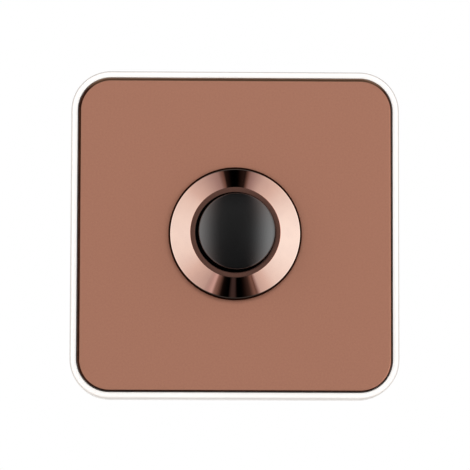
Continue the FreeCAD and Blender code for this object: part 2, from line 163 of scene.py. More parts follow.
tree.links.new(gloss.outputs["Result"], shader.inputs["Roughness"])
tree.links.new(texture.outputs["Normal"], shader.inputs["Normal"])
dress(nodes["surround_frame"], white_polycarbonate)


# Switch housing and rear cover
# A black glass-filled nylon box that snaps into the surround's floor, with a guide tube for the
# stem, a chamber for the contacts and two bays for the terminals. A screwed cover closes it.
housing_nylon, tree, shader, place = start_material(
    "glass_filled_nylon", {"Specular IOR Level": 0.5, "IOR": 1.53})
# Glass-filled nylon: charcoal, slightly uneven, with a soft sheen broken by the mould's grain.
grain = add(tree, "TexNoise", {"Scale": spaced(0.5), "Detail": 4.0, "Roughness": 0.65}, {"Vector": place})
flow = add(tree, "TexNoise", {"Scale": spaced(9), "Detail": 3.0, "Distortion": 0.6}, {"Vector": place})
tone = add(tree, "ValToRGB", {"stops": [(0.3, "#26282a"), (0.7, "#34373a")]}, {"Fac": flow.outputs["Fac"]})
gloss = add(tree, "MapRange", {"From Min": 0.3, "From Max": 0.7, "To Min": 0.42, "To Max": 0.6},
            {"Value": grain.outputs["Fac"]})
arris = add(tree, "Bevel", {"samples": 4, "Radius": 0.00025})
texture = add(tree, "Bump", {"Strength": 0.5, "Distance": 0.00004},
              {"Height": grain.outputs["Fac"], "Normal": arris.outputs["Normal"]})
tree.links.new(tone.outputs["Color"], shader.inputs["Base Color"])
tree.links.new(gloss.outputs["Result"], shader.inputs["Roughness"])
tree.links.new(texture.outputs["Normal"], shader.inputs["Normal"])
for name in ("switch_housing", "housing_cover"):
    dress(nodes[name], housing_nylon)


# Terminals and contact strips
# Sawn brass blocks and stamped brass strips inside the switch, with silver contact buttons
# brazed on. The bell wires go in from below and the clamp screws press on them from behind.
# The slotted ring nut that draws the bezel back is turned from the same brass.
brass, tree, shader, place = start_material("rolled_brass", {"Metallic": 1.0})
# Rolled brass: warm yellow with a fine drawn grain along the strip and slight tarnish.
stretch = add(tree, "Mapping", {"Scale": (1.0, 1.0, 0.08)}, {"Vector": place})
drawn = add(tree, "TexNoise", {"Scale": spaced(0.3), "Detail": 3.0}, {"Vector": stretch.outputs["Vector"]})
tarnish = add(tree, "TexNoise", {"Scale": spaced(4), "Detail": 4.0}, {"Vector": place})
tone = add(tree, "ValToRGB", {"stops": [(0.35, "#b08d4c"), (0.7, "#d9b872")]},
           {"Fac": tarnish.outputs["Fac"]})
gloss = add(tree, "MapRange", {"From Min": 0.3, "From Max": 0.7, "To Min": 0.22, "To Max": 0.4},
            {"Value": drawn.outputs["Fac"]})
arris = add(tree, "Bevel", {"samples": 4, "Radius": 0.00015})
tree.links.new(arris.outputs["Normal"], shader.inputs["Normal"])
tree.links.new(tone.outputs["Color"], shader.inputs["Base Color"])
tree.links.new(gloss.outputs["Result"], shader.inputs["Roughness"])
for name in ("terminal_clamp_right", "terminal_clamp_left", "fixed_contact_right",
             "fixed_contact_left", "contact_bridge", "bezel_nut"):
    dress(nodes[name], brass)

# Silver alloy buttons: pale and slightly dull, with the faint arc marks of use.
contact_silver, tree, shader, place = start_material("contact_silver", {"Metallic": 1.0, "Roughness": 0.28})
marks = add(tree, "TexNoise", {"Scale": spaced(0.6), "Detail": 4.0}, {"Vector": place})
tone = add(tree, "ValToRGB", {"stops": [(0.35, "#a9a6a0"), (0.65, "#dddad4")]}, {"Fac": marks.outputs["Fac"]})
tree.links.new(tone.outputs["Color"], shader.inputs["Base Color"])
for name in ("moving_contacts", "fixed_contact_tips"):
    dress(nodes[name], contact_silver)


# Screws
# Pan-head screws of zinc-plated steel: two M3.5 into the lugs of the wall box, two that clamp
# the wires and two that hold the cover. Only the wall-box screws have their rolled thread drawn.
zinc_steel, tree, shader, place = start_material("zinc_plated_steel", {"Metallic": 1.0})
# Bright zinc with a passivated skin: cool grey, slightly cloudy, with soft highlights.
cloud = add(tree, "TexNoise", {"Scale": spaced(1.5), "Detail": 4.0}, {"Vector": place})
tone = add(tree, "ValToRGB", {"stops": [(0.35, "#b2b4b7"), (0.7, "#caccce")]}, {"Fac": cloud.outputs["Fac"]})
gloss = add(tree, "MapRange", {"From Min": 0.3, "From Max": 0.7, "To Min": 0.2, "To Max": 0.36},
            {"Value": cloud.outputs["Fac"]})
tree.links.new(tone.outputs["Color"], shader.inputs["Base Color"])
tree.links.new(gloss.outputs["Result"], shader.inputs["Roughness"])


same_point = 1e-7
crease = math.radians(35)
shank_steps = 32


def turned(profile, steps):
    """A mesh turned about the Y axis from (radius, depth) points. A profile off the axis is closed."""
    made = bmesh.new()
    corners = [made.verts.new((radius, depth, 0)) for radius, depth in profile]
    for a, b in zip(corners, corners[1:]):
        made.edges.new((a, b))
    if profile[0][0] > 0:
        made.edges.new((corners[-1], corners[0]))
    bmesh.ops.spin(made, geom=made.verts[:] + made.edges[:], cent=(0, 0, 0), axis=(0, 1, 0),
                   dvec=(0, 0, 0), angle=2 * math.pi, steps=steps, use_merge=True, use_duplicate=False)
    bmesh.ops.remove_doubles(made, verts=made.verts[:], dist=same_point)
    return made


def moved(made, geom, distance):
    """Shifts the vertices of what an extrude gave along the depth, and returns its faces."""
    verts = [g for g in geom if isinstance(g, bmesh.types.BMVert)]
    bmesh.ops.translate(made, vec=(0, distance, 0), verts=verts)
    return [g for g in geom if isinstance(g, bmesh.types.BMFace)]


def upright_at(depth):
    """Lays a flat shape in the plane y = depth."""
    return Matrix.Translation((0, depth, 0)) @ Matrix.Rotation(math.pi / 2, 4, "X")


def add_head(made, radius, height, seat, out):
    """A slotted pan head on the plane y = seat, rising along out, which is 1 or -1."""
    slot_width = radius * 0.3
    slot_depth = height * 0.45
    disc = bmesh.ops.create_circle(made, cap_ends=True, segments=40, radius=radius, matrix=upright_at(seat))
    base = disc["verts"][0].link_faces[0]
    stem = bmesh.ops.extrude_face_region(made, geom=[base] + base.edges[:])
    top = moved(made, stem["geom"], out * (height - slot_depth))
    for side in (-0.5, 0.5):
        around = list({v for f in top for v in f.verts}) + list({e for f in top for e in f.edges}) + top
        cut = bmesh.ops.bisect_plane(made, geom=around, plane_co=(0, 0, side * slot_width),
                                     plane_no=(0, 0, 1))
        top = [g for g in cut["geom"] if isinstance(g, bmesh.types.BMFace)]
    for half in top:
        if abs(half.calc_center_median().z) > slot_width / 2:
            cheek = bmesh.ops.extrude_face_region(made, geom=[half] + half.edges[:])
            moved(made, cheek["geom"], out * slot_depth)
    crest = seat + out * height
    rim = [e for e in made.edges
           if all(abs(v.co.y - crest) < same_point and v.co.xz.length > radius * 0.995 for v in e.verts)]
    bmesh.ops.bevel(made, geom=rim, offset=height * 0.3, offset_type="OFFSET", segments=4,
                    profile=0.5, affect="EDGES", material=-1)


def add_thread(made, core, crest, pitch, start, end):
    """A rolled thread round a core: a low ridge wound from the plane y = start to y = end."""
    root = core * 0.97
    ridge = [(root, start), (crest, start + pitch * 0.38), (crest, start + pitch * 0.5),
             (root, start + pitch * 0.88)]
    section = made.faces.new([made.verts.new((radius, depth, 0)) for radius, depth in ridge])
    turns = (end - start) / pitch - 1
    steps_a_turn = 20
    steps = int(turns * steps_a_turn)
    bmesh.ops.spin(made, geom=section.verts[:] + section.edges[:] + [section], cent=(0, 0, 0), axis=(0, 1, 0),
                   dvec=(0, turns * pitch / steps, 0), angle=2 * math.pi * turns, steps=steps,
                   use_merge=False, use_duplicate=False)


def piece_from(made, name, smooth):
    """Makes an object of a finished mesh, with its faces outwards."""
    bmesh.ops.remove_doubles(made, verts=made.verts[:], dist=same_point)
    bmesh.ops.recalc_face_normals(made, faces=made.faces[:])
    for face in made.faces:
        face.smooth = smooth
    mesh = bpy.data.meshes.new(name)
    made.to_mesh(mesh)
    made.free()
    piece = bpy.data.objects.new(name, mesh)
    scene.collection.objects.link(piece)
    return piece


def screw_pair(made, turns, places, name, node):
    """Makes the piece for two like screws, each turned about its axis and moved to its (x, z) place."""
    copied = bmesh.ops.duplicate(made, geom=made.verts[:] + made.edges[:] + made.faces[:])
    second = [g for g in copied["geom"] if isinstance(g, bmesh.types.BMVert)]
    first = list(set(made.verts) - set(second))
    for verts, angle, (x, z) in zip((first, second), turns, places):
        turn = Matrix.Rotation(math.radians(angle), 3, "Y")
        bmesh.ops.rotate(made, cent=(0, 0, 0), matrix=turn, verts=verts)
        bmesh.ops.translate(made, vec=(x, 0, z), verts=verts)
    pair = piece_from(made, name, True)
    pair.modifiers.new("even_shading", "WEIGHTED_NORMAL").weight = 100
    pair.data.set_sharp_from_angle(angle=crease)
    dress(pair, zinc_steel)
    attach(pair, "wall_unit")
    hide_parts(node)


# M3.5 screws for the wall box: the head bears on the surround's floor.
low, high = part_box("fixing_screws")
fixing_head = 0.0034
fixing_head_height = 0.0022
fixing_neck = 0.0015
neck_end = -0.0002
thread_core = 0.00142
thread_crest = 0.00175
thread_pitch = 0.0006
thread_stop = 0.0005
fixing_tip = 0.0007
fixing_point = 0.0009
fixing_seat = low.y + fixing_head_height
fixing = turned([
    (0, fixing_seat), (fixing_neck, fixing_seat), (fixing_neck, neck_end), (thread_core, neck_end),
    (thread_core, high.y - fixing_tip), (fixing_point, high.y), (0, high.y)], shank_steps)
add_head(fixing, fixing_head, fixing_head_height, fixing_seat, -1)
add_thread(fixing, thread_core, thread_crest, thread_pitch, neck_end, high.y - thread_stop)
fixing_x = high.x - fixing_head
fixing_places = ((-fixing_x, 0), (fixing_x, 0))
screw_pair(fixing, (12, -31), fixing_places, "box_fixing_screws", "fixing_screws")

# Clamp screws, backed out as supplied so that the wire bores are free.
low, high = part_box("terminal_screws")
clamp_head = 0.0029
clamp_head_height = 0.0018
clamp_shank = 0.00145
clamp_tip = 0.0004
clamp_seat = high.y - clamp_head_height
clamp = turned([
    (0, clamp_seat), (clamp_shank, clamp_seat), (clamp_shank, low.y + clamp_tip),
    (clamp_shank - clamp_tip, low.y), (0, low.y)], shank_steps)
add_head(clamp, clamp_head, clamp_head_height, clamp_seat, 1)
clamp_x = high.x - clamp_head
clamp_z = (low.z + high.z) / 2
clamp_places = ((-clamp_x, clamp_z), (clamp_x, clamp_z))
screw_pair(clamp, (-24, 38), clamp_places, "wire_clamp_screws", "terminal_screws")

# Self-tapping screws that hold the rear cover.
low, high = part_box("cover_screws")
cover_head = 0.0022
cover_head_height = 0.0014
cover_shank = 0.0012
cover_tip = 0.0006
cover_point = 0.0003
cover_seat = high.y - cover_head_height
cover_screw = turned([
    (0, cover_seat), (cover_shank, cover_seat), (cover_shank, low.y + cover_tip),
    (cover_point, low.y), (0, low.y)], shank_steps)
add_head(cover_screw, cover_head, cover_head_height, cover_seat, 1)
cover_places = ((0, low.z + cover_head), (0, high.z - cover_head))
screw_pair(cover_screw, (52, 8), cover_places, "cover_tapping_screws", "cover_screws")


# Springs and clip
# The return spring under the plunger's head and the small spring behind the contact bridge are
# wound from spring steel wire. The open clip in the stem's groove is stamped from the same steel.
spring_steel, tree, shader, place = start_material("spring_steel_wire", {"Metallic": 1.0})
# Drawn wire: bright grey with an oily unevenness in its shine.
film = add(tree, "TexNoise", {"Scale": spaced(1.2), "Detail": 3.0}, {"Vector": place})
tone = add(tree, "ValToRGB", {"stops": [(0.35, "#8c8d8f"), (0.7, "#babbbd")]}, {"Fac": film.outputs["Fac"]})
gloss = add(tree, "MapRange", {"From Min": 0.3, "From Max": 0.7, "To Min": 0.24, "To Max": 0.38},
            {"Value": film.outputs["Fac"]})
tree.links.new(tone.outputs["Color"], shader.inputs["Base Color"])
tree.links.new(gloss.outputs["Result"], shader.inputs["Roughness"])
dress(nodes["plunger_clip"], spring_steel)


def coiled(radius, wire, turns, front, back, name):
    """Round wire wound about the button's axis between two seats."""
    made = bmesh.new()
    rise = back - front - 2 * wire
    bmesh.ops.create_circle(made, cap_ends=True, segments=10, radius=wire,
                            matrix=Matrix.Translation((radius, front + wire, 0)))
    steps_a_turn = 36
    steps = turns * steps_a_turn
    bmesh.ops.spin(made, geom=made.verts[:] + made.edges[:] + made.faces[:], cent=(0, 0, 0), axis=(0, 1, 0),
                   dvec=(0, rise / steps, 0), angle=2 * math.pi * turns, steps=steps,
                   use_merge=False, use_duplicate=False)
    return piece_from(made, name, True)


low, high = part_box("return_spring")
return_coil = coiled(radius=0.0058, wire=0.00045, turns=7, front=low.y, back=high.y,
                     name="return_spring_coil")
dress(return_coil, spring_steel)
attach(return_coil, "wall_unit")
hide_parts("return_spring")
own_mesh(return_coil)

low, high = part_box("contact_spring")
contact_coil = coiled(radius=0.00295, wire=0.00025, turns=4, front=low.y, back=high.y,
                      name="contact_spring_coil")
dress(contact_coil, spring_steel)
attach(contact_coil, "button")
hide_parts("contact_spring")


# Plate liner
# A liner moulded in grey ABS that fills the metal pan. The bezel's nut holds the two together,
# and its four snap hooks clip them to the surround.
liner_abs, tree, shader, place = start_material("moulded_abs", {"Specular IOR Level": 0.5})
# Moulded ABS: even mid grey with a fine satin grain.
grain = add(tree, "TexNoise", {"Scale": spaced(0.4), "Detail": 3.0}, {"Vector": place})
cloud = add(tree, "TexNoise", {"Scale": spaced(18), "Detail": 2.0}, {"Vector": place})
tone = add(tree, "ValToRGB", {"stops": [(0.35, "#55585a"), (0.65, "#606365")]}, {"Fac": cloud.outputs["Fac"]})
gloss = add(tree, "MapRange", {"From Min": 0.3, "From Max": 0.7, "To Min": 0.4, "To Max": 0.55},
            {"Value": grain.outputs["Fac"]})
arris = add(tree, "Bevel", {"samples": 4, "Radius": 0.00025})
texture = add(tree, "Bump", {"Strength": 0.4, "Distance": 0.00003},
              {"Height": grain.outputs["Fac"], "Normal": arris.outputs["Normal"]})
tree.links.new(tone.outputs["Color"], shader.inputs["Base Color"])
tree.links.new(gloss.outputs["Result"], shader.inputs["Roughness"])
tree.links.new(texture.outputs["Normal"], shader.inputs["Normal"])
dress(nodes["plate_liner"], liner_abs)


# Front plate
# A shallow pan pressed from brass sheet, finished in satin bronze. Its edge is rolled over, with painted
# shade on the roll and painted light along its top, and the return flange drops inside the white rim.
plate_low, plate_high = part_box("front_plate")
plate_side = plate_high.x - plate_low.x
plate_corner = 0.00855
plate_sheet = 0.0012
plate_roll = 0.0008
barrel_hole = 0.01355
# Painted shade on the rolled edge: its width, softness, colours and off-centre slip, and the heights of the
# painted light along the top.
shade_band_width = 0.00064
shade_band_softness = 0.00004
painted_shade_tones = [(0.35, "#2a170f"), (0.7, "#402418")]
shade_band_slip = (-0.00012, 0, 0.00021)
top_light_from = 0.0378
top_light_to = 0.0410
same_plane = 1e-6
flat_normal = 0.9999


def rounded_square(side, corner, depth, segments):
    """A mesh of one flat square with round corners, in the plane y = depth."""
    made = bmesh.new()
    bmesh.ops.create_grid(made, x_segments=1, y_segments=1, size=0.5,
                          matrix=upright_at(depth) @ Matrix.Diagonal((side, side, 1, 1)))
    bmesh.ops.bevel(made, geom=made.verts[:], offset=corner, offset_type="OFFSET",
                    segments=segments, profile=0.5, affect="VERTICES", material=-1)
    return made


def push_back(made, face, distance):
    """Extrudes a face along the depth and returns the face at the far end."""
    pushed = bmesh.ops.extrude_face_region(made, geom=[face] + face.edges[:])
    return moved(made, pushed["geom"], distance)[0]


def flat_at(made, depth):
    """Edges that lie in the plane y = depth."""
    return [e for e in made.edges if all(abs(v.co.y - depth) < same_plane for v in e.verts)]


pan = rounded_square(plate_side, plate_corner, plate_low.y, segments=14)
front = pan.faces[:][0]
back = push_back(pan, front, plate_high.y - plate_low.y)
bmesh.ops.inset_individual(pan, faces=[back], thickness=plate_sheet, use_even_offset=True)
push_back(pan, back, plate_low.y + plate_sheet - plate_high.y)
bmesh.ops.bevel(pan, geom=flat_at(pan, plate_low.y), offset=plate_roll, offset_type="OFFSET",
                segments=8, profile=0.5, affect="EDGES", material=-1)
for depth in (plate_low.y, plate_low.y + plate_sheet):
    level = [f for f in pan.faces if abs(f.calc_center_median().y - depth) < same_plane]
    sheet = max(level, key=lambda f: f.calc_area())
    outline = sheet.edges[:]
    outward = sheet.normal.copy()
    bmesh.ops.delete(pan, geom=[sheet], context="FACES_ONLY")
    circle = bmesh.ops.create_circle(pan, cap_ends=False, segments=72, radius=barrel_hole,
                                     matrix=upright_at(depth))
    hole = list({e for v in circle["verts"] for e in v.link_edges})
    bmesh.ops.triangle_fill(pan, use_beauty=True, edges=outline + hole, normal=outward)
hole_edges = [e for e in pan.edges if e.is_boundary]
bmesh.ops.bridge_loops(pan, edges=hole_edges)
front_plate = piece_from(pan, "satin_plate", True)
front_plate.data.set_sharp_from_angle(angle=crease)

# Satin bronze over brass: blasted to a very fine even grain, then clear-lacquered, so that it
# gives back a broad soft light with no streaks. The grain is drawn a little coarser than it is.
satin_bronze, tree, shader, place = start_material("satin_bronze", {})
grit = add(tree, "TexNoise", {"Scale": spaced(0.5), "Detail": 3.0, "Roughness": 0.7}, {"Vector": place})
tone = add(tree, "ValToRGB", {"stops": [(0.3, "#b57f69"), (0.7, "#bd8770")]}, {"Fac": grit.outputs["Fac"]})
gloss = add(tree, "MapRange", {"From Min": 0.35, "From Max": 0.65, "To Min": 0.49, "To Max": 0.52},
            {"Value": grit.outputs["Fac"]})
texture = add(tree, "Bump", {"Strength": 0.25, "Distance": 0.00002}, {"Height": grit.outputs["Fac"]})
tree.links.new(texture.outputs["Normal"], shader.inputs["Normal"])
# Round its rolled edge the bronze is painted almost black brown as painted shade, and lighter brown along the
# top as painted light. The painted shade band is set a touch off centre, wider at the left and top. Its line
# keeps to the distance from the plate's edge.
masked = add(tree, "VectorMath", {"operation": "MULTIPLY_ADD", 1: (1, 0, 1), 2: shade_band_slip}, {0: place})
folded = add(tree, "VectorMath", {"operation": "ABSOLUTE"}, {0: masked.outputs["Vector"]})
straight = plate_side / 2 - plate_corner
past = add(tree, "VectorMath", {"operation": "SUBTRACT", 1: (straight, 0, straight)},
           {0: folded.outputs["Vector"]})
rounded = add(tree, "VectorMath", {"operation": "MAXIMUM", 1: (0, 0, 0)}, {0: past.outputs["Vector"]})
reach = add(tree, "VectorMath", {"operation": "LENGTH"}, {0: rounded.outputs["Vector"]})
shade_line = plate_corner - shade_band_width
shade_band = add(tree, "MapRange",
            {"From Min": shade_line - shade_band_softness, "From Max": shade_line + shade_band_softness},
            {"Value": reach.outputs["Value"]})
shade_mottle = add(tree, "TexNoise", {"Scale": spaced(2.5), "Detail": 4.0}, {"Vector": place})
dark = add(tree, "ValToRGB", {"stops": painted_shade_tones}, {"Fac": shade_mottle.outputs["Fac"]})
up_there = add(tree, "SeparateXYZ", {}, {"Vector": place})
top_light_mask = add(tree, "MapRange", {"From Min": top_light_from, "From Max": top_light_to},
             {"Value": up_there.outputs["Z"]})
edge_shade_and_light = add(tree, "Mix", {"data_type": "RGBA", 7: linear("#96775f")},
                {0: top_light_mask.outputs["Result"], 6: dark.outputs["Color"]})
plate_tone = add(tree, "Mix", {"data_type": "RGBA"},
                 {0: shade_band.outputs["Result"], 6: tone.outputs["Color"], 7: edge_shade_and_light.outputs[2]})
metal = add(tree, "MapRange", {"To Min": 0.55, "To Max": 1.0}, {"Value": shade_band.outputs["Result"]})
shine = add(tree, "Mix", {"data_type": "FLOAT", 3: 0.4},
            {0: shade_band.outputs["Result"], 2: gloss.outputs["Result"]})
tree.links.new(plate_tone.outputs[2], shader.inputs["Base Color"])
tree.links.new(metal.outputs["Result"], shader.inputs["Metallic"])
tree.links.new(shine.outputs[0], shader.inputs["Roughness"])
dress(front_plate, satin_bronze)
for face in front_plate.data.polygons:
    face.use_smooth = abs(face.normal.y) < flat_normal
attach(front_plate, "wall_unit")
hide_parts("front_plate")


# Bezel seal
# A thin washer cut from black nitrile rubber. The bezel's lip presses it on the plate, and it
# keeps water out of the plate's hole.
seal_rubber, tree, shader, place = start_material(
    "nitrile_rubber", {"Roughness": 0.6, "Specular IOR Level": 0.4})
dust = add(tree, "TexNoise", {"Scale": spaced(0.8), "Detail": 4.0}, {"Vector": place})
tone = add(tree, "ValToRGB", {"stops": [(0.0, "#0d0b0a"), (1.0, "#1c1a19")]}, {"Fac": dust.outputs["Fac"]})
tree.links.new(tone.outputs["Color"], shader.inputs["Base Color"])
dress(nodes["bezel_seal"], seal_rubber)


# Bezel ring
# Turned from brass bar, bronze-plated and polished: a lip on the seal, a straight cone, a narrow
# flat land round the cap, and a threaded barrel that the nut draws from behind.
bezel_low, bezel_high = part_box("bezel_ring")
lip_inset = 0.00008
lip_radius = bezel_high.x - lip_inset
lip_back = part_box("bezel_seal")[0].y
land_front = bezel_low.y
barrel_radius = 0.0134
counterbore = 0.012
bore = 0.01042
land_edge = 0.01175
land_depth = 0.002
cone_foot = 0.01685
lip_height = 0.00071
# Painted shade covers the lip's front faces from this radius outwards.
lip_shade_from = 0.01692
land_reach = 0.00002
front_normal = -0.3


def soften(made, radius, depth, size, segments):
    """Rounds the ring of edges at one radius and depth."""
    circle = [e for e in flat_at(made, depth)
              if all(abs(math.hypot(v.co.x, v.co.z) - radius) < same_plane for v in e.verts)]
    bmesh.ops.bevel(made, geom=circle, offset=size, offset_type="OFFSET", segments=segments,
                    profile=0.5, affect="EDGES", material=-1)


lip_front = lip_back - lip_height
ring = turned([
    (bore, land_front), (land_edge, land_front), (cone_foot, lip_front), (lip_radius, lip_front),
    (lip_radius, lip_back), (barrel_radius, lip_back), (barrel_radius, bezel_high.y),
    (counterbore, bezel_high.y), (counterbore, land_front + land_depth), (bore, land_front + land_depth),
], steps=180)
soften(ring, bore, land_front, size=0.00012, segments=3)
soften(ring, land_edge, land_front, size=0.0001, segments=3)
soften(ring, cone_foot, lip_front, size=0.0002, segments=5)
soften(ring, lip_radius, lip_front, size=0.00025, segments=5)
soften(ring, barrel_radius, bezel_high.y, size=0.0003, segments=2)
bezel_ring = piece_from(ring, "bezel_ring_polished", True)
bezel_ring.modifiers.new("even_shading", "WEIGHTED_NORMAL").weight = 100

# Polished bronze: close to a mirror, its colour painted a paler rose than the bronze's own as a painted
# highlight, where the bright light it gives back looks washed out. Turning marks too fine to see one by one
# are drawn a little coarser as a slight blur.
polished_bronze, tree, shader, place = start_material("polished_bronze", {"Metallic": 1.0})
buff = add(tree, "TexNoise", {"Scale": spaced(3), "Detail": 4.0}, {"Vector": place})
tone = add(tree, "ValToRGB", {"stops": [(0.35, "#d3baae"), (0.65, "#d6bdb0")]}, {"Fac": buff.outputs["Fac"]})
gloss = add(tree, "MapRange", {"From Min": 0.35, "From Max": 0.65, "To Min": 0.035, "To Max": 0.055},
            {"Value": buff.outputs["Fac"]})
tree.links.new(tone.outputs["Color"], shader.inputs["Base Color"])
tree.links.new(gloss.outputs["Result"], shader.inputs["Roughness"])

# The land is left as turned: rougher than the cone, and in the bronze's own browner colour.
turned_bronze, tree, shader, place = start_material("turned_bronze", {"Metallic": 1.0, "Roughness": 0.2})
marks = add(tree, "TexNoise", {"Scale": spaced(0.8), "Detail": 4.0}, {"Vector": place})
tone = add(tree, "ValToRGB", {"stops": [(0.35, "#cf9684"), (0.7, "#d59c8a")]}, {"Fac": marks.outputs["Fac"]})
tree.links.new(tone.outputs["Color"], shader.inputs["Base Color"])

# The lip's front is painted almost black brown as painted shade, like the plate's edge. Its side stays
# polished, so the plate beside it mirrors light there and the lip ends in a crisp line.
painted_shade_bronze, tree, shader, place = start_material("painted_shade_bronze", {"Metallic": 1.0, "Roughness": 0.4})
shade_mottle = add(tree, "TexNoise", {"Scale": spaced(2.5), "Detail": 4.0}, {"Vector": place})
tone = add(tree, "ValToRGB", {"stops": painted_shade_tones}, {"Fac": shade_mottle.outputs["Fac"]})
tree.links.new(tone.outputs["Color"], shader.inputs["Base Color"])
dress(bezel_ring, polished_bronze, turned_bronze, painted_shade_bronze)
for face in bezel_ring.data.polygons:
    if face.center.y < land_front + land_reach:
        face.material_index = 1
    elif math.hypot(face.center.x, face.center.z) > lip_shade_from and face.normal.y < front_normal:
        face.material_index = 2
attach(bezel_ring, "wall_unit")
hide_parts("bezel_ring")


# Push cap
# A hollow domed cap moulded in black ABS, with a lip that the bezel's shoulder keeps in. It sits
# a little up and to the right in its bore, by the play of the fit.
cap_low, cap_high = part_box("push_cap")
cap_right = 0.00003
cap_down = 0.00014
cap_centre = Vector(((cap_low.x + cap_high.x) / 2 + cap_right, 0, (cap_low.z + cap_high.z) / 2 - cap_down))
cap_radius = 0.0099
cap_dome = 0.0022
cap_round = 0.00025
cap_lip = 0.01135
cap_lip_height = 0.0012
cap_lip_front = cap_high.y - cap_lip_height
lip_chamfer = 0.0004
hollow_radius = 0.0084
crown_thickness = 0.0017
crown_inside = cap_low.y + crown_thickness
swell = (cap_radius ** 2 + cap_dome ** 2) / (2 * cap_dome)
half_angle = math.asin(cap_radius / swell)
cap_mesh = bmesh.new()
apex = cap_mesh.verts.new((0, cap_low.y, 0))
arc = bmesh.ops.spin(cap_mesh, geom=[apex], cent=(0, cap_low.y + swell, 0), axis=(0, 0, 1),
                     dvec=(0, 0, 0), angle=half_angle, steps=24, use_merge=False, use_duplicate=False)
limb = [g for g in arc["geom_last"] if isinstance(g, bmesh.types.BMVert)][0]
inner_rise = cap_dome * (hollow_radius / cap_radius) ** 2
points = [
    (limb.co.x, cap_lip_front), (cap_lip, cap_lip_front), (cap_lip, cap_high.y - lip_chamfer),
    (cap_lip - lip_chamfer, cap_high.y), (hollow_radius, cap_high.y),
    (hollow_radius, crown_inside + inner_rise), (hollow_radius * 0.5, crown_inside + inner_rise * 0.25),
    (0, crown_inside)]
last = limb
for radius, depth in points:
    corner = cap_mesh.verts.new((math.copysign(radius, limb.co.x), depth, 0))
    cap_mesh.edges.new((last, corner))
    last = corner
bmesh.ops.spin(cap_mesh, geom=cap_mesh.verts[:] + cap_mesh.edges[:], cent=(0, 0, 0), axis=(0, 1, 0),
               dvec=(0, 0, 0), angle=2 * math.pi, steps=128, use_merge=True, use_duplicate=False)
bmesh.ops.remove_doubles(cap_mesh, verts=cap_mesh.verts[:], dist=same_point)
soften(cap_mesh, cap_radius, cap_low.y + cap_dome, size=cap_round, segments=5)
bmesh.ops.translate(cap_mesh, vec=cap_centre, verts=cap_mesh.verts[:])
push_cap = piece_from(cap_mesh, "push_cap_dome", True)
push_cap.modifiers.new("even_shading", "WEIGHTED_NORMAL").weight = 100

# Black ABS with a hard satin lacquer: near black, and it takes a broad soft shine at its sides.
black_abs, tree, shader, place = start_material("satin_black_abs", {"Specular IOR Level": 1.0})
grain = add(tree, "TexNoise", {"Scale": spaced(0.3), "Detail": 3.0}, {"Vector": place})
tone = add(tree, "ValToRGB", {"stops": [(0.35, "#040404"), (0.65, "#060607")]}, {"Fac": grain.outputs["Fac"]})
gloss = add(tree, "MapRange", {"From Min": 0.3, "From Max": 0.7, "To Min": 0.16, "To Max": 0.19},
            {"Value": grain.outputs["Fac"]})
texture = add(tree, "Bump", {"Strength": 0.2, "Distance": 0.00001}, {"Height": grain.outputs["Fac"]})
tree.links.new(tone.outputs["Color"], shader.inputs["Base Color"])
tree.links.new(gloss.outputs["Result"], shader.inputs["Roughness"])
tree.links.new(texture.outputs["Normal"], shader.inputs["Normal"])
dress(push_cap, black_abs)
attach(push_cap, "button")
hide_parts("push_cap")


# Plunger
# A stem moulded in natural nylon, with a broad head that carries the cap. It slides in the
# housing's guide tube, where its collar stops it.
natural_nylon, tree, shader, place = start_material("natural_nylon", {"Roughness": 0.4, "IOR": 1.53})
flow = add(tree, "TexNoise", {"Scale": spaced(5), "Detail": 3.0}, {"Vector": place})
tone = add(tree, "ValToRGB", {"stops": [(0.0, "#d9d4c4"), (1.0, "#ece8da")]}, {"Fac": flow.outputs["Fac"]})
tree.links.new(tone.outputs["Color"], shader.inputs["Base Color"])
dress(nodes["plunger"], natural_nylon)


# Studio
# A pale floor under the object, a white background, and soft light from two tall white screens at
# the left and right, with a dim gap between them above, below and behind the camera.
floor_half = 1.5
floor_drop = 0.15
floor_mesh = bmesh.new()
bmesh.ops.create_grid(floor_mesh, x_segments=1, y_segments=1, size=floor_half,
                      matrix=Matrix.Translation((0, 0, -floor_drop)))
floor = piece_from(floor_mesh, "studio_floor", False)
floor_paint = start_material(
    "matt_white_floor", {"Roughness": 0.9, "Specular IOR Level": 0.1, "Base Color": linear("#fbfbfa")})[0]
dress(floor, floor_paint)
floor.visible_glossy = False
floor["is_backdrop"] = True

world = bpy.data.worlds.new("studio_light")
scene.world = world
world.use_nodes = True
tree = world.node_tree
tree.nodes.clear()
sky = add(tree, "TexCoord", {}).outputs["Generated"]
part = add(tree, "SeparateXYZ", {}, {"Vector": sky})
x_part, y_part, z_part = part.outputs["X"], part.outputs["Y"], part.outputs["Z"]
x_square = add(tree, "Math", {"operation": "MULTIPLY"}, {0: x_part, 1: x_part}).outputs[0]
spread = add(tree, "Math", {"operation": "MULTIPLY_ADD"}, {0: z_part, 1: z_part, 2: x_square}).outputs[0]
reach = add(tree, "Math", {"operation": "SQRT"}, {0: spread}).outputs[0]
sideways = add(tree, "Math", {"operation": "DIVIDE"}, {0: x_part, 1: reach}).outputs[0]
share = add(tree, "Math", {"operation": "MULTIPLY_ADD", 1: 0.5, 2: 0.5}, {0: sideways}).outputs[0]

